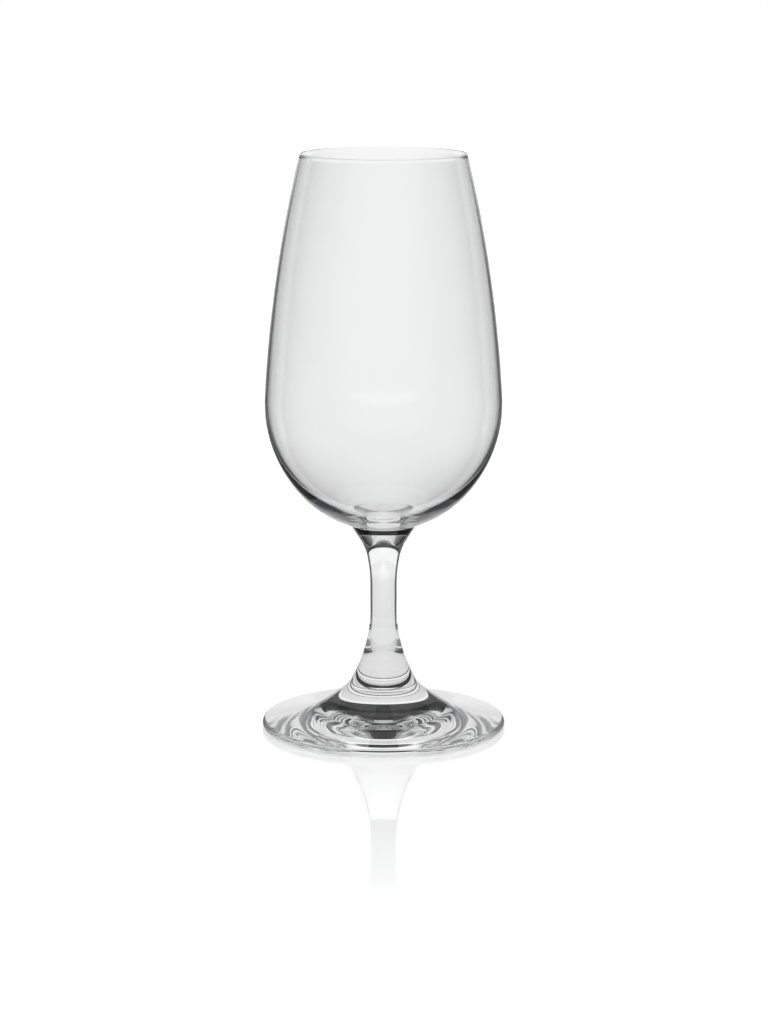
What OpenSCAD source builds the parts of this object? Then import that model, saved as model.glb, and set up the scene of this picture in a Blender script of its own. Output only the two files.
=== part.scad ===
// Wine tasting glass: a blown tulip bowl, a pressed stem and a pressed foot, fused face to face.
// Every piece is turned from a half outline about the Z axis. Millimetres, +Z up.
// The origin is the centre of the resting plane under the foot.

/* [Bowl] */
// Height of the bowl, from the outside of its base to the top of the rim
bowl_h = 100.6; // [80:0.2:130]
// Outside diameter of the wall at the mouth
mouth_d = 44.2; // [36:0.2:54]
// Widest outside diameter, at the belly
belly_d = 63.5; // [56:0.1:80]
// Height of the widest line above the outside of the base
belly_h = 34.4; // [26:0.1:42]
// Share of the side's lean that the belly curve has turned before the long upper curve takes over
belly_carry = 0.4; // [0:0.02:0.7]
// Wall thickness at the mouth
mouth_wall = 0.65; // [0.5:0.05:1.6]
// Wall thickness at the belly
belly_wall = 0.9; // [0.6:0.05:2.2]
// Thickness of the base on the axis
base_wall = 2.5; // [1.6:0.1:6]
// Swelling of the fire-polished rim beyond the thickness of the wall
rim_swell = 0.05; // [0.05:0.05:1]

/* [Stem] */
// Height of the stem on the axis, from the foot joint to the outside of the bowl's base
stem_h = 41.9; // [37:0.1:70]
// Diameter at the slim waist
waist_d = 7.15; // [6:0.05:9]
// Radius of the long hollow curve that leaves the waist, upwards and downwards
waist_curve_r = 39.2; // [30:0.2:46]
// Lean of the lower cone from the vertical, in degrees
root_lean = 25; // [20:0.5:28]
// Diameter of the seat that the bowl is fused to
seat_d = 17.8; // [15:0.1:21]
// Lean at which the long curve tightens towards the seat, in degrees
seat_ease = 11; // [6:0.5:18]
// Radius of the tighter curve below the seat
seat_curve_r = 14.5; // [8:0.5:20]
// Lean of the upper cone from the vertical, in degrees
seat_lean = 32; // [26:0.5:38]

/* [Foot] */
// Outside diameter of the foot
foot_d = 65.7; // [54:0.1:80]
// Height of the joint between the foot and the stem
joint_h = 12.5; // [10:0.1:16]
// Diameter of that joint, on the foot and on the stem
joint_d = 17.7; // [15:0.1:21]
// Thickness of the foot at its rounded edge
edge_t = 2.2; // [1.6:0.1:4]
// Fall of the top where it meets the rounded edge, in degrees
brim_fall = 8.3; // [4:0.1:11]
// Width of the shallow brim, between the cove and the rounded edge
brim_w = 9.7; // [5:0.1:12]
// Radius of the brim's slow hollow curve
brim_curve_r = 99; // [70:1:160]
// Diameter of the hollow under the foot
hollow_d = 30; // [18:0.2:44]
// Depth of that hollow on the axis
hollow_depth = 1.5; // [0.5:0.1:2.4]

/* [Hidden] */
$fn = 240;

// Overshoot of cutting shapes past the solid that they cut
past = 1;
// Growth of the tighter of two arcs that meet smoothly, so that their outlines cross at a clean point
lap = 0.005;

// Levels on the axis
base_z = joint_h + stem_h;
belly_z = base_z + belly_h;
top_z = base_z + bowl_h;
rim_d = mouth_wall + rim_swell;
rim_z = top_z - rim_d / 2;

// Quarter oval of two smooth arcs, from the axis at depth d below the widest line to radius r on it.
// The arcs meet at the incentre of the right-angled corner, so any r and d give a smooth curve.
function corner_inset(r, d) = (r + d - norm([r, d])) / 2;
function arc_through(inset, across) = (inset * inset + pow(across - inset, 2)) / (2 * inset);
function side_r(r, d) = arc_through(corner_inset(r, d), d) + lap;
function base_r(r, d) =
    let (inset = corner_inset(r, d))
    arc_through(inset, r) + (r < d ? 2 * lap : 0);

// Angle above the widest line at which the belly curve hands over to the long upper curve
function carry(r, m, h) = belly_carry * atan((r - m) / h);

// Radius of the long upper curve: it leaves the belly curve of radius s at that angle and passes
// through radius m at height h above the widest line
function upper_r(r, m, h, s) =
    let (mouth = [m - r + s, h], turn = carry(r, m, h))
    let (reach = mouth * [cos(turn), sin(turn)])
    (mouth * mouth + s * s - 2 * s * reach) / (2 * (s - reach));

// A disc, with everything above and below the levels between which it is the outline
module disc_between(centre, radius, low, high, width) {
    translate(centre) circle(radius);
    translate([0, high]) square([width, top_z]);
    translate([0, low - top_z]) square([width, top_z]);
}

// Half outline of a tulip, up to a level: r is its radius at the widest line, d its depth below that
// line, and m its radius at height h above it
module tulip(r, m, d, h, level) {
    s = side_r(r, d);
    u = upper_r(r, m, h, s);
    turn = carry(r, m, h);
    handover_z = belly_z + s * sin(turn);
    round_z = belly_z - d + corner_inset(r, d);
    width = r + past;
    intersection() {
        translate([0, belly_z - d - past]) square([width, level - belly_z + d + past]);
        translate([r - s, belly_z] - (u - s) * [cos(turn), sin(turn)]) circle(u);
        disc_between([r - s, belly_z], s, r < d ? 0 : round_z, handover_z, width);
        disc_between([0, belly_z - d + base_r(r, d)], base_r(r, d), 0, r < d ? round_z : belly_z, width);
    }
}

module bowl() {
    wall_h = rim_z - belly_z;
    color("AliceBlue", 0.35) rotate_extrude() {
        difference() {
            tulip(belly_d / 2, mouth_d / 2, belly_h, wall_h, rim_z);
            tulip(belly_d / 2 - belly_wall, mouth_d / 2 - mouth_wall, belly_h - base_wall, wall_h, top_z);
        }
        translate([(mouth_d - mouth_wall) / 2, rim_z]) circle(rim_d / 2);
    }
}

// Flare from the waist to an end: the long curve as far as the lean called ease, a curve of radius c
// from there to the full lean, then a cone. Heights count from the end towards the waist.
module flare(end_d, lean, ease, c) {
    waist_r = waist_d / 2;
    ease_r = waist_r + waist_curve_r * (1 - cos(ease));
    cone_r = ease_r + c * (cos(ease) - cos(lean));
    cone_h = (end_d / 2 - cone_r) / tan(lean);
    ease_h = cone_h + c * (sin(lean) - sin(ease));
    waist_h = ease_h + waist_curve_r * sin(ease);
    polygon([[0, -past], [end_d / 2 + past * tan(lean), -past], [0, end_d / 2 / tan(lean)]]);
    difference() {
        polygon([[0, cone_h], [cone_r, cone_h], [ease_r, ease_h], [0, ease_h]]);
        translate([ease_r - lap, ease_h] + c * [cos(ease), sin(ease)]) circle(c);
    }
    difference() {
        polygon([[0, ease_h], [ease_r, ease_h], [waist_r, waist_h], [0, waist_h]]);
        translate([waist_r + waist_curve_r - lap, waist_h]) circle(waist_curve_r);
    }
}

module stem() {
    sphere_r = base_r(belly_d / 2, belly_h);
    seat_z = base_z + sphere_r - sqrt(pow(sphere_r, 2) - pow(seat_d / 2, 2));
    color("AliceBlue", 0.45) rotate_extrude() {
        difference() {
            union() {
                translate([0, joint_h]) square([waist_d / 2, stem_h]);
                translate([0, joint_h]) flare(joint_d, root_lean, root_lean / 2, waist_curve_r);
                translate([0, seat_z]) mirror([0, 1]) flare(seat_d, seat_lean, seat_ease, seat_curve_r);
            }
            // Flat joint on the foot, and the seat round the bowl's base
            translate([0, joint_h - 2 * past]) square([joint_d, 2 * past]);
            translate([0, base_z + sphere_r]) circle(sphere_r);
        }
    }
}

// Direction across a surface that falls outwards by an angle
function across(fall) = [sin(fall), cos(fall)];

module foot() {
    edge_r = edge_t / 2;
    edge_centre = [foot_d / 2 - edge_r, edge_r];
    brim_out = edge_centre + edge_r * across(brim_fall);
    brim_centre = brim_out + brim_curve_r * across(brim_fall);
    // The cove is one arc that leaves the brim in line with it and ends at the joint
    cove_fall = asin(sin(brim_fall) + brim_w / brim_curve_r);
    cove_out = brim_centre - (brim_curve_r + lap) * across(cove_fall);
    cove = [joint_d / 2, joint_h] - cove_out;
    cove_r = norm(cove) / (2 * sin(atan2(cove[1], -cove[0]) - cove_fall));
    hollow_r = (pow(hollow_d / 2, 2) + pow(hollow_depth, 2)) / (2 * hollow_depth);
    color("AliceBlue", 0.45) rotate_extrude() {
        difference() {
            union() {
                // Brim with its rounded edge
                difference() {
                    intersection() {
                        square([foot_d, joint_h]);
                        union() {
                            translate(edge_centre - [lap, 0]) circle(edge_r + lap);
                            square([edge_centre[0], joint_h]);
                        }
                    }
                    translate(brim_centre) circle(brim_curve_r);
                }
                // Cove and boss
                difference() {
                    polygon([[0, edge_r], [cove_out[0], edge_r], cove_out,
                        [joint_d / 2, joint_h], [0, joint_h]]);
                    translate(cove_out + cove_r * across(cove_fall)) circle(cove_r);
                }
            }
            translate([0, hollow_depth - hollow_r]) circle(hollow_r);
        }
    }
}

bowl();
stem();
foot();
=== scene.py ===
from math import asin, atan2, cos, hypot, pi, radians, sin, sqrt, tan

import bmesh
import bpy
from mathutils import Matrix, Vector


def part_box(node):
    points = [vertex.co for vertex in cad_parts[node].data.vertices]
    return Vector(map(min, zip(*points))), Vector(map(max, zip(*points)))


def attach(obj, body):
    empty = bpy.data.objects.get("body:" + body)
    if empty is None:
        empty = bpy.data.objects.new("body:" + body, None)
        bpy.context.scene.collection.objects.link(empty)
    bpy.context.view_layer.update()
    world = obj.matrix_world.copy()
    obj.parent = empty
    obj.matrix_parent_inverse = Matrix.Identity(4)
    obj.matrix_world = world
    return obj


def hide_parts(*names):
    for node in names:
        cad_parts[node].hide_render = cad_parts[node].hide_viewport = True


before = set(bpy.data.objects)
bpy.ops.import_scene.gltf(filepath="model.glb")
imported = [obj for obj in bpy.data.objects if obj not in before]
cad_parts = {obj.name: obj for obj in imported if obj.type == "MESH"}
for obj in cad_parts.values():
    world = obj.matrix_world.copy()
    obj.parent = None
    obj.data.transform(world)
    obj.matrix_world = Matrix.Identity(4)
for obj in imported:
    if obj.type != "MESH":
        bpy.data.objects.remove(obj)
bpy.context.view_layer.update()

# Foot
# Round pressed-glass foot: flat underneath with a small hollow in the middle, a thin fire-polished edge, a
# sloping brim and a cove that rises to a flat boss. The stem is fused to the boss, with no air between the two.
MM = 0.001
ROUND_STEPS = 192
MERGE_GAP = 0.0001 * MM
CREASE = radians(30)
ON_JOINT = 0.001 * MM
foot_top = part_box("foot")[1]
foot_r = foot_top.x
joint_z = foot_top.z
joint_r = 8.85 * MM
edge_r = 1.1 * MM
brim_fall = radians(8.3)
brim_w = 9.7 * MM
brim_curve = 99 * MM
hollow_r = 15.0 * MM
hollow_depth = 1.5 * MM


def outline(x, z):
    """A new mesh with the first point of a half outline in the XZ plane."""
    bm = bmesh.new()
    return bm, bm.verts.new((x, 0, z))


def arc(bm, point, centre, turn, steps):
    """Carries the outline on round a centre, anticlockwise for a positive turn in radians."""
    swept = bmesh.ops.spin(bm, geom=[point], cent=(centre[0], 0, centre[1]), axis=(0, -1, 0), angle=turn,
                           steps=steps)
    return next(p for p in swept["geom_last"] if isinstance(p, bmesh.types.BMVert))


def line(bm, point, x, z, steps=1):
    """Carries the outline on along a straight line."""
    start, end = point.co.copy(), Vector((x, 0, z))
    for i in range(steps):
        point = bmesh.ops.extrude_vert_indiv(bm, verts=[point])["verts"][0]
        point.co = start.lerp(end, (i + 1) / steps)
    return point


def turned(name, bm, glass, seam, is_seam):
    """Turns the outline about the Z axis into a closed piece, with the fused faces in a slot of their own."""
    bmesh.ops.spin(bm, geom=bm.verts[:] + bm.edges[:], cent=(0, 0, 0), axis=(0, 0, 1), angle=2 * pi,
                   steps=ROUND_STEPS, use_merge=True)
    bmesh.ops.remove_doubles(bm, verts=bm.verts, dist=MERGE_GAP)
    bmesh.ops.recalc_face_normals(bm, faces=bm.faces)
    for face in bm.faces:
        face.smooth = True
        face.material_index = 1 if is_seam(face.calc_center_median()) else 0
    mesh = bpy.data.meshes.new(name)
    bm.to_mesh(mesh)
    bm.free()
    mesh.set_sharp_from_angle(angle=CREASE)
    mesh.materials.append(glass)
    mesh.materials.append(seam)
    piece = bpy.data.objects.new(name, mesh)
    bpy.context.collection.objects.link(piece)
    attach(piece, "root")
    return piece


def surface_group():
    """Faint ripple, smears and tint of polished glass, read from the piece's own coordinates."""
    group = bpy.data.node_groups.new("polished_glass_surface", "ShaderNodeTree")
    group.interface.new_socket("Stretch", in_out="INPUT", socket_type="NodeSocketVector")
    group.interface.new_socket("Tint", in_out="OUTPUT", socket_type="NodeSocketColor")
    group.interface.new_socket("Smear", in_out="OUTPUT", socket_type="NodeSocketFloat")
    group.interface.new_socket("Ripple", in_out="OUTPUT", socket_type="NodeSocketFloat")
    nodes, links = group.nodes, group.links
    given = nodes.new("NodeGroupInput")
    result = nodes.new("NodeGroupOutput")
    place = nodes.new("ShaderNodeTexCoord")
    stretched = nodes.new("ShaderNodeVectorMath")
    stretched.operation = "MULTIPLY"
    links.new(place.outputs["Object"], stretched.inputs[0])
    links.new(given.outputs["Stretch"], stretched.inputs[1])
    ripple = nodes.new("ShaderNodeTexNoise")
    ripple.inputs["Scale"].default_value = 70
    ripple.inputs["Detail"].default_value = 1
    links.new(stretched.outputs[0], ripple.inputs["Vector"])
    links.new(ripple.outputs[0], result.inputs["Ripple"])
    smear = nodes.new("ShaderNodeTexNoise")
    smear.inputs["Scale"].default_value = 35
    smear.inputs["Detail"].default_value = 6
    smear.inputs["Distortion"].default_value = 1.5
    links.new(place.outputs["Object"], smear.inputs["Vector"])
    level = nodes.new("ShaderNodeMapRange")
    level.inputs["From Min"].default_value = 0.45
    level.inputs["From Max"].default_value = 0.75
    level.inputs["To Min"].default_value = 0.002
    level.inputs["To Max"].default_value = 0.02
    links.new(smear.outputs[0], level.inputs["Value"])
    links.new(level.outputs[0], result.inputs["Smear"])
    batch = nodes.new("ShaderNodeTexNoise")
    batch.inputs["Scale"].default_value = 18
    links.new(place.outputs["Object"], batch.inputs["Vector"])
    tint = nodes.new("ShaderNodeValToRGB")
    tint.color_ramp.elements[0].position = 0.35
    tint.color_ramp.elements[0].color = (0.985, 0.987, 0.988, 1)
    tint.color_ramp.elements[1].position = 0.65
    tint.color_ramp.elements[1].color = (0.996, 0.997, 0.998, 1)
    links.new(batch.outputs[0], tint.inputs["Fac"])
    links.new(tint.outputs["Color"], result.inputs["Tint"])
    return group


polished = surface_group()


def glass_material(name, stretch, ripple_depth):
    """Clear glass with its faint ripple drawn out along the way the piece was made."""
    material = bpy.data.materials.new(name)
    material.use_nodes = True
    nodes, links = material.node_tree.nodes, material.node_tree.links
    surface = nodes.new("ShaderNodeGroup")
    surface.node_tree = polished
    surface.inputs["Stretch"].default_value = stretch
    bump = nodes.new("ShaderNodeBump")
    bump.inputs["Strength"].default_value = 1
    bump.inputs["Distance"].default_value = ripple_depth
    links.new(surface.outputs["Ripple"], bump.inputs["Height"])
    shader = nodes["Principled BSDF"]
    shader.inputs["IOR"].default_value = 1.52
    shader.inputs["Transmission Weight"].default_value = 1
    links.new(surface.outputs["Tint"], shader.inputs["Base Color"])
    links.new(surface.outputs["Smear"], shader.inputs["Roughness"])
    links.new(bump.outputs["Normal"], shader.inputs["Normal"])
    return material


def seam_material():
    """A fused face: the glass runs on through it, so light passes it unchanged."""
    material = bpy.data.materials.new("fused_seam")
    material.use_nodes = True
    nodes = material.node_tree.nodes
    nodes.remove(nodes["Principled BSDF"])
    clear = nodes.new("ShaderNodeBsdfTransparent")
    material.node_tree.links.new(clear.outputs[0], nodes["Material Output"].inputs["Surface"])
    return material


fused = seam_material()
foot_glass = glass_material("foot_pressed_glass", (1, 1, 1), 0.0015 * MM)

hollow_curve = (hollow_r ** 2 + hollow_depth ** 2) / (2 * hollow_depth)
edge_centre = (foot_r - edge_r, edge_r)
brim_centre = (edge_centre[0] + (edge_r + brim_curve) * sin(brim_fall),
               edge_centre[1] + (edge_r + brim_curve) * cos(brim_fall))
cove_fall = asin(sin(brim_fall) + brim_w / brim_curve)
cove_out = (brim_centre[0] - brim_curve * sin(cove_fall), brim_centre[1] - brim_curve * cos(cove_fall))
cove_rise = atan2(joint_z - cove_out[1], cove_out[0] - joint_r)
cove_r = hypot(joint_z - cove_out[1], cove_out[0] - joint_r) / (2 * sin(cove_rise - cove_fall))
cove_centre = (cove_out[0] + cove_r * sin(cove_fall), cove_out[1] + cove_r * cos(cove_fall))

bm, point = outline(0, hollow_depth)
point = arc(bm, point, (0, hollow_depth - hollow_curve), -atan2(hollow_r, hollow_curve - hollow_depth), 24)
point = line(bm, point, edge_centre[0], 0, 8)
point = arc(bm, point, edge_centre, pi - brim_fall, 32)
point = arc(bm, point, brim_centre, brim_fall - cove_fall, 20)
point = arc(bm, point, cove_centre, -2 * (cove_rise - cove_fall), 60)
point = line(bm, point, 0, joint_z, 6)
foot = turned("foot_glass", bm, foot_glass, fused, lambda c: c.z > joint_z - ON_JOINT)
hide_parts("foot")

# Stem
# Solid pressed-glass stem: a slim waist that flares in one long curve to the foot, and tightens to the seat.
# Its hollow top is fused to the round base of the bowl, and its flat end to the boss of the foot.
waist_r = 3.575 * MM
waist_curve = 39.2 * MM
root_lean = radians(25)
seat_r = 8.9 * MM
seat_ease = radians(11)
seat_curve = 14.5 * MM
seat_lean = radians(32)
bowl_low, bowl_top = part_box("bowl")
belly_r = bowl_top.x
base_z = bowl_low.z
belly_h = 34.4 * MM


def oval(r, d):
    """Inset of the join, side radius and base radius of a quarter oval of two smooth arcs."""
    inset = (r + d - hypot(r, d)) / 2
    return inset, (inset ** 2 + (d - inset) ** 2) / (2 * inset), (inset ** 2 + (r - inset) ** 2) / (2 * inset)


base_curve = oval(belly_r, belly_h)[2]
seat_z = base_z + base_curve - sqrt(base_curve ** 2 - seat_r ** 2)
root_cone_r = waist_r + waist_curve * (1 - cos(root_lean))
root_cone_z = joint_z + (joint_r - root_cone_r) / tan(root_lean)
waist_low = root_cone_z + waist_curve * sin(root_lean)
ease_r = waist_r + waist_curve * (1 - cos(seat_ease))
seat_cone_r = ease_r + seat_curve * (cos(seat_ease) - cos(seat_lean))
seat_cone_z = seat_z - (seat_r - seat_cone_r) / tan(seat_lean)
ease_z = seat_cone_z - seat_curve * (sin(seat_lean) - sin(seat_ease))
waist_high = ease_z - waist_curve * sin(seat_ease)
stem_glass = glass_material("stem_pressed_glass", (1, 1, 0.25), 0.003 * MM)

bm, point = outline(0, joint_z)
point = line(bm, point, joint_r, joint_z, 6)
point = line(bm, point, root_cone_r, root_cone_z, 8)
point = arc(bm, point, (waist_r + waist_curve, waist_low), -root_lean, 44)
point = line(bm, point, waist_r, waist_high, 8)
point = arc(bm, point, (waist_r + waist_curve, waist_high), -seat_ease, 20)
point = arc(bm, point, (ease_r + seat_curve * cos(seat_ease), ease_z - seat_curve * sin(seat_ease)),
            seat_ease - seat_lean, 24)
point = line(bm, point, seat_r, seat_z, 12)
point = arc(bm, point, (0, base_z + base_curve), -atan2(seat_r, base_curve - (seat_z - base_z)), 16)


def on_sphere(c, sag):
    """Whether the middle of a face lies on the round base of the bowl, within the seat and to within a sag."""
    off = abs(hypot(c.x, c.y, c.z - base_z - base_curve) - base_curve)
    return off < sag and hypot(c.x, c.y) < seat_r


stem = turned("stem_glass", bm, stem_glass, fused,
              lambda c: c.z < joint_z + ON_JOINT or on_sphere(c, 0.005 * MM))
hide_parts("stem")

# Bowl
# Thin blown tulip bowl: a thicker round base, a wall that thins towards the mouth and a fire-polished rim.
# The base is fused into the seat of the stem.
rim_r = 0.35 * MM
belly_wall = 0.9 * MM
mouth_wall = 0.65 * MM
mouth_r = 22.1 * MM
base_wall = 2.5 * MM
belly_carry = 0.4
belly_z = base_z + belly_h
rim_x = mouth_r - mouth_wall / 2
rim_z = bowl_top.z - rim_r
bowl_glass = glass_material("bowl_blown_glass", (1, 1, 2), 0.006 * MM)


def tulip(r, m, d):
    """Arcs of one face of the wall, from the axis up to the rim: centre, turn and steps of each. Also the
    angle, seen from the middle of the round rim, at which the last arc meets it."""
    h = rim_z - belly_z
    inset, side, base = oval(r, d)
    turn = belly_carry * atan2(r - m, h)
    reach = (m - r + side) * cos(turn) + h * sin(turn)
    upper = ((m - r + side) ** 2 + h ** 2 + side ** 2 - 2 * side * reach) / (2 * (side - reach))
    base_turn = atan2(r - inset, base - inset)
    centre = (r - side - (upper - side) * cos(turn), belly_z - (upper - side) * sin(turn))
    gap = hypot(rim_x - centre[0], rim_z - centre[1])
    lean = atan2(rim_z - centre[1], rim_x - centre[0])
    along = (upper ** 2 - rim_r ** 2 + gap ** 2) / (2 * gap)
    meet = lean - atan2(sqrt(upper ** 2 - along ** 2), along)
    on_rim = atan2(centre[1] + upper * sin(meet) - rim_z, centre[0] + upper * cos(meet) - rim_x)
    return on_rim, (((0, belly_z - d + base), base_turn, 48),
                    ((r - side, belly_z), pi / 2 - base_turn + turn, 40),
                    (centre, meet - turn, 72))


bm, point = outline(0, base_z)
rim_start, outer = tulip(belly_r, mouth_r, belly_h)
rim_end, inner = tulip(belly_r - belly_wall, mouth_r - mouth_wall, belly_h - base_wall)
for centre, turn, steps in outer:
    point = arc(bm, point, centre, turn, steps)
point = arc(bm, point, (rim_x, rim_z), (rim_end - rim_start) % (2 * pi), 24)
for centre, turn, steps in reversed(inner):
    point = arc(bm, point, centre, -turn, steps)
bowl = turned("bowl_glass", bm, bowl_glass, fused, lambda c: on_sphere(c, 0.02 * MM))
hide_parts("bowl")

# Camera
# It stands where the photograph was taken from, in front of the glass and above its middle, and looks down a
# little. Light may turn many times inside the thick glass before it is given up.
camera = bpy.data.objects.new("camera", bpy.data.cameras.new("camera"))
bpy.context.collection.objects.link(camera)
looks_down = radians(11.597)
camera.location = (0.13 * MM, -769.8 * MM, 217.0 * MM)
camera.rotation_euler = (pi / 2 - looks_down, 0, 0)
camera.data.sensor_width = 36
camera.data.lens = 102.93
scene = bpy.context.scene
scene.camera = camera
scene.view_settings.view_transform = "Standard"
scene.cycles.max_bounces = 96
scene.cycles.transmission_bounces = 96
scene.cycles.glossy_bounces = 20

# Table
# White polished table, which keeps the soft shadow of the glass and mirrors its foot and stem. Through the
# glass it is bright behind and close by, and dark to the sides. It turns with the camera and carries the rest
# of the studio, as if the glass was turned.
studio_w = 14.4
table_gap = 0.05 * MM
dark_side = 0.12


def card(name, width, height, material):
    """A flat sheet in its own XY plane."""
    bm = bmesh.new()
    bmesh.ops.create_grid(bm, x_segments=1, y_segments=1, size=0.5)
    bmesh.ops.scale(bm, vec=(width, height, 1), verts=bm.verts)
    mesh = bpy.data.meshes.new(name)
    bm.to_mesh(mesh)
    bm.free()
    mesh.materials.append(material)
    sheet = bpy.data.objects.new(name, mesh)
    bpy.context.collection.objects.link(sheet)
    return sheet


def bare_material(name):
    """A material with nothing but its output node, and a short way to add nodes and set their sockets."""
    material = bpy.data.materials.new(name)
    material.use_nodes = True
    nodes, links = material.node_tree.nodes, material.node_tree.links
    nodes.remove(nodes["Principled BSDF"])

    def add(kind, operation=None, **sockets):
        node = nodes.new(kind)
        if operation:
            node.operation = operation
        for key, value in sockets.items():
            socket = node.inputs[int(key[1:]) if key[0] == "_" else key]
            if isinstance(value, bpy.types.NodeSocket):
                links.new(value, socket)
            else:
                socket.default_value = value
        return node.outputs[0] if kind != "ShaderNodeLightPath" else node.outputs

    def finish(shader):
        links.new(shader, nodes["Material Output"].inputs["Surface"])
        return material
    return add, finish


def own_place(add):
    """The sheet's own coordinates: the whole vector, and its parts by name."""
    place = add("ShaderNodeTexCoord").node.outputs["Object"]
    return place, add("ShaderNodeSeparateXYZ", Vector=place).node.outputs


def length(add, vector):
    return add("ShaderNodeVectorMath", "LENGTH", _0=vector).node.outputs["Value"]


def smooth_range(add, value, low, high, start, end):
    """Start below low, end above high, and a smooth change between."""
    ranged = add("ShaderNodeMapRange", Value=value, _1=low, _2=high, _3=start, _4=end)
    ranged.node.interpolation_type = "SMOOTHSTEP"
    return ranged


add, finish = bare_material("white_table")
path = add("ShaderNodeLightPath")
place, apart = own_place(add)
radius = length(add, place)
aside = add("ShaderNodeMath", "ABSOLUTE", _0=apart["X"])
# What the glass sees: a bright wedge behind it and a bright disc under it. Light that it mirrors sees only
# a lane of both.
heading = add("ShaderNodeMath", "ARCTAN2", _0=aside, _1=apart["Y"])
wedge = smooth_range(add, heading, radians(44), radians(56), 1.0, 0.0)
close = smooth_range(add, radius, 0.036, 0.046, 1.0, 0.0)
wedge_or_close = add("ShaderNodeMath", "MAXIMUM", _0=wedge, _1=close)
behind = add("ShaderNodeMath", "MAXIMUM", _0=apart["Y"], _1=0.0)
half_lane = add("ShaderNodeMath", "MULTIPLY_ADD", _0=behind, _1=0.24, _2=0.031)
across_lane = add("ShaderNodeMath", "DIVIDE", _0=aside, _1=half_lane)
lane = smooth_range(add, across_lane, 0.9, 1.2, 1.0, 0.0)
shown = add("ShaderNodeMath", "MAXIMUM", _0=lane, _1=path["Is Transmission Ray"])
lit = add("ShaderNodeMath", "MULTIPLY", _0=wedge_or_close, _1=shown)
# Painted shadow: the table that the glass sees is dimmer close to the glass, in place of the glass's own shadow
painted_glass_shadow = smooth_range(add, radius, 0.05, 0.38, 0.80, 1.0)
beside = smooth_range(add, radius, 1.2, 5.0, 0.9, 1.0)
middle = smooth_range(add, aside, 0.02, 0.14, 1.0, beside)
bright = add("ShaderNodeMath", "MULTIPLY", _0=painted_glass_shadow, _1=middle)
by_glass = add("ShaderNodeEmission", Strength=add("ShaderNodeMix", _0=lit, _2=dark_side, _3=bright))
# What the camera sees: white, with a polish that fades away from the glass
glow = add("ShaderNodeEmission", Strength=smooth_range(add, radius, 0.05, 1.0, 0.73, 1.0))
matt = add("ShaderNodeBsdfDiffuse", Color=(0.8, 0.8, 0.8, 1))
plain = add("ShaderNodeAddShader", _0=glow, _1=matt)
polish = add("ShaderNodeBsdfGlossy", Roughness=0.02)
shine = smooth_range(add, radius, 0.03, 0.26, 0.32, 0.0)
by_camera = add("ShaderNodeMixShader", Fac=shine, _1=plain, _2=polish)
white_table = finish(add("ShaderNodeMixShader", Fac=path["Is Camera Ray"], _1=by_glass, _2=by_camera))
floor = card("floor", studio_w, studio_w, white_table)
floor.location.z = -table_gap
follow = floor.constraints.new("COPY_ROTATION")
follow.target = camera
follow.use_x = False
follow.use_y = False

# Backdrop
# Tall white sheet at the back of the table. The glass shows its whole lower part, but light that has turned
# once or many times inside the glass sees only its foot, which leaves the dark oval in the foot of the glass.
backdrop_h = 7.2
backdrop_y = 6.0
often = 5.5
dark_top = 0.03


def stand(sheet, place, facing=0):
    """Stands a sheet upright in the studio, turned about its upright by an angle in radians."""
    sheet.parent = floor
    sheet.location = place
    sheet.rotation_euler = (pi / 2, 0, facing)


add, finish = bare_material("white_backdrop")
path = add("ShaderNodeLightPath")
apart = own_place(add)[1]
turned_once = add("ShaderNodeMath", "COMPARE", _0=path["Glossy Depth"], _1=1.0, _2=0.5)
turned_often = add("ShaderNodeMath", "GREATER_THAN", _0=path["Glossy Depth"], _1=often)
hidden = add("ShaderNodeMath", "MAXIMUM", _0=turned_once, _1=turned_often)
lower_part = smooth_range(add, apart["Y"], -1.1, -0.4, 1.0, dark_top)
lowest_part = smooth_range(add, apart["Y"], -3.02, -2.70, 1.0, dark_top)
refracted = add("ShaderNodeMix", _0=hidden, _2=lower_part, _3=lowest_part)
# Light mirrored by the table sees a bright middle, and light mirrored inside the bowl a soft dim one
aside = add("ShaderNodeMath", "ABSOLUTE", _0=apart["X"])
by_table = smooth_range(add, aside, 1.4, 1.7, 1.0, 0.1)
by_bowl = add("ShaderNodeMath", "MULTIPLY", _0=smooth_range(add, aside, 0.0, 4.5, 0.6, 0.1),
              _1=smooth_range(add, apart["Y"], -3.6, 2.4, 1.0, 0.1))
inside = add("ShaderNodeMath", "GREATER_THAN", _0=path["Transmission Depth"], _1=0.5)
mirrored = add("ShaderNodeMix", _0=inside, _2=by_table, _3=by_bowl)
by_glass = add("ShaderNodeMix", _0=path["Is Transmission Ray"], _2=mirrored, _3=refracted)
strength = add("ShaderNodeMix", _0=path["Is Glossy Ray"], _2=1.0, _3=by_glass)
white_backdrop = finish(add("ShaderNodeEmission", Strength=strength))
stand(card("backdrop", studio_w, backdrop_h, white_backdrop), (0, backdrop_y, backdrop_h / 2))

# Cards
# Two dark cards close behind the glass, left and right, draw its dark edge lines, and a small white card above
# them makes its rim pale. Only the glass sees them.
dark_w, dark_h = 0.16, 0.17
white_w, white_h = 0.085, 0.10

add, finish = bare_material("dark_card")
path = add("ShaderNodeLightPath")
border = smooth_range(add, own_place(add)[1]["X"], -0.080, -0.073, 0.0, 1.0)
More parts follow.
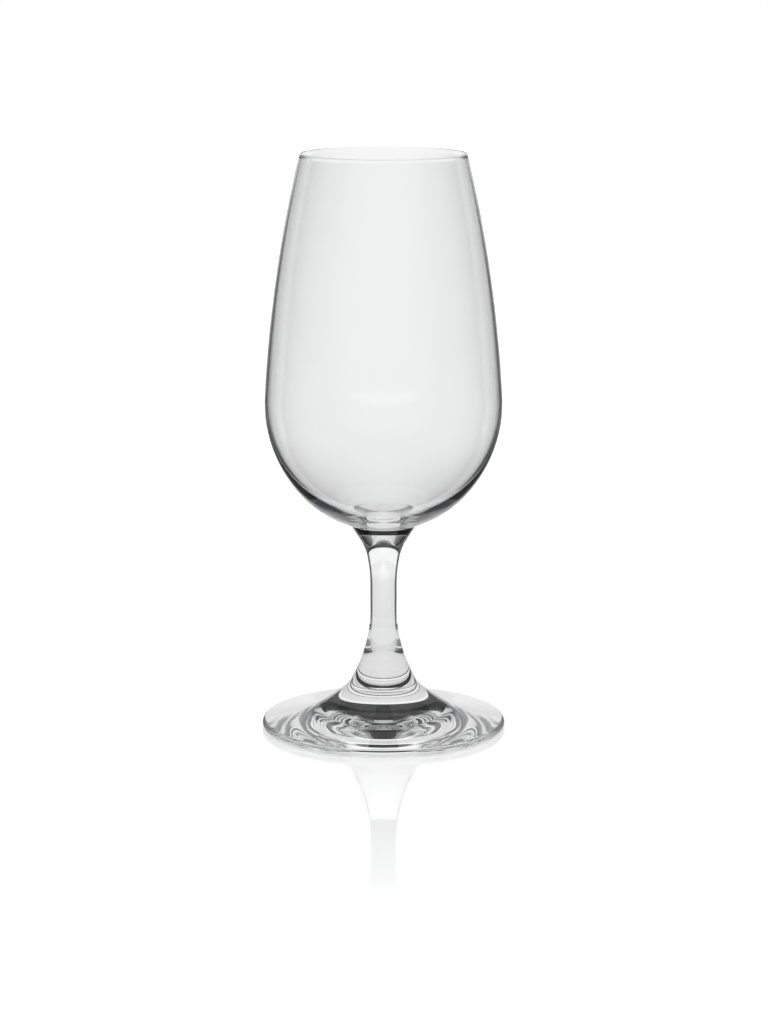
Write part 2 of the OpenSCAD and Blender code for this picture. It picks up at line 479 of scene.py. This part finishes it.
# Light that was mirrored inside the bowl passes the dark cards
turned_inside = add("ShaderNodeMath", "GREATER_THAN", _0=path["Glossy Depth"], _1=0.5)
crossed = add("ShaderNodeMath", "GREATER_THAN", _0=path["Transmission Depth"], _1=2.5)
in_bowl = add("ShaderNodeMath", "MULTIPLY", _0=turned_inside, _1=crossed)
straight = add("ShaderNodeMath", "SUBTRACT", _0=1.0, _1=in_bowl)
refracted = add("ShaderNodeMath", "MULTIPLY", _0=straight, _1=path["Is Transmission Ray"])
blocks = add("ShaderNodeMath", "MULTIPLY", _0=border, _1=refracted)
dark_card = finish(add("ShaderNodeMixShader", Fac=blocks, _1=add("ShaderNodeBsdfTransparent"),
                       _2=add("ShaderNodeEmission", Strength=0.11)))
stand(card("left_card", dark_w, dark_h, dark_card), (-0.116, 0.038, 0.0855), pi)
stand(card("right_card", dark_w, dark_h, dark_card), (0.116, 0.038, 0.0855))

add, finish = bare_material("white_card")
path = add("ShaderNodeLightPath")
most = add("ShaderNodeMath", "MULTIPLY_ADD", _0=path["Is Transmission Ray"], _1=2.0, _2=0.5)
early = add("ShaderNodeMath", "LESS_THAN", _0=path["Transmission Depth"], _1=most)
by_rim = add("ShaderNodeMath", "MULTIPLY", _0=path["Is Glossy Ray"], _1=early)
white_card = finish(add("ShaderNodeMixShader", Fac=by_rim, _1=add("ShaderNodeBsdfTransparent"),
                        _2=add("ShaderNodeEmission", Strength=1.0)))
stand(card("high_card", white_w, white_h, white_card), (0, 0.060, 0.203))

# Ceiling and wall
# A soft pale ceiling above the glass and a low pale wall behind the camera, which give the glass its faint
# reflections. Light that has turned inside the stem or the foot hardly sees the ceiling.
ceiling_w = 2.6
ceiling_z = 1.25
wall_w, wall_h = 9.0, 1.8

add, finish = bare_material("soft_ceiling")
path = add("ShaderNodeLightPath")
away = length(add, own_place(add)[0])
turned_inside = add("ShaderNodeMath", "GREATER_THAN", _0=path["Glossy Depth"], _1=0.5)
in_one_piece = add("ShaderNodeMath", "LESS_THAN", _0=path["Transmission Depth"], _1=2.5)
refracted = add("ShaderNodeMath", "MULTIPLY", _0=in_one_piece, _1=path["Is Transmission Ray"])
hidden = add("ShaderNodeMath", "MULTIPLY", _0=turned_inside, _1=refracted)
strength = add("ShaderNodeMix", _0=hidden, _2=smooth_range(add, away, 0.2, 1.3, 0.6, 0.0), _3=0.04)
soft_ceiling = finish(add("ShaderNodeMixShader", Fac=path["Is Glossy Ray"], _1=add("ShaderNodeBsdfTransparent"),
                          _2=add("ShaderNodeEmission", Strength=strength)))
ceiling = card("ceiling", ceiling_w, ceiling_w, soft_ceiling)
ceiling.parent = floor
ceiling.location = (0, 0, ceiling_z)

add, finish = bare_material("pale_wall")
aside = add("ShaderNodeMath", "ABSOLUTE", _0=own_place(add)[1]["X"])
pale_wall = finish(add("ShaderNodeEmission", Strength=smooth_range(add, aside, 0.9, 4.2, 0.48, 0.03)))
stand(card("wall", wall_w, wall_h, pale_wall), (0, -2.5, wall_h / 2))

# Lamps
# One broad soft lamp above the glass and two tall dim ones behind it, which light the table. The glass itself
# doesn't show them.


def soft_lamp(name, radiance, width, painted_glass_shadow, place):
    """An area lamp that faces the glass and looks as bright as a surface of the given strength."""
    lamp = bpy.data.lights.new(name, "AREA")
    lamp.shape = "RECTANGLE"
    lamp.size = width
    lamp.size_y = painted_glass_shadow
    lamp.energy = 4 * radiance * width * painted_glass_shadow
    light = bpy.data.objects.new(name, lamp)
    bpy.context.collection.objects.link(light)
    light.parent = floor
    light.location = place
    light.rotation_euler = Vector(place).to_track_quat("Z", "Y").to_euler()
    light.visible_glossy = False
    light.visible_transmission = False


soft_lamp("top_lamp", 1.0, 1.2, 1.2, (0, 0, 1.2))
soft_lamp("left_lamp", 0.5, 0.6, 1.6, (-0.70, 1.3, 1.0))
soft_lamp("right_lamp", 0.5, 0.6, 1.6, (0.70, 1.3, 1.0))

# Room
# A dark room, from which the glass takes its dark lines. Where the camera looks past the backdrop, it is as
# white as the backdrop.
world = bpy.data.worlds.new("dark_room")
scene.world = world
world.use_nodes = True
nodes, links = world.node_tree.nodes, world.node_tree.links
dark = nodes["Background"]
dark.inputs["Color"].default_value = (0.045, 0.050, 0.060, 1)
white = nodes.new("ShaderNodeBackground")
white.inputs["Color"].default_value = (1, 1, 1, 1)
choose = nodes.new("ShaderNodeMixShader")
links.new(nodes.new("ShaderNodeLightPath").outputs["Is Camera Ray"], choose.inputs["Fac"])
links.new(dark.outputs[0], choose.inputs[1])
links.new(white.outputs[0], choose.inputs[2])
links.new(choose.outputs[0], nodes["World Output"].inputs["Surface"])
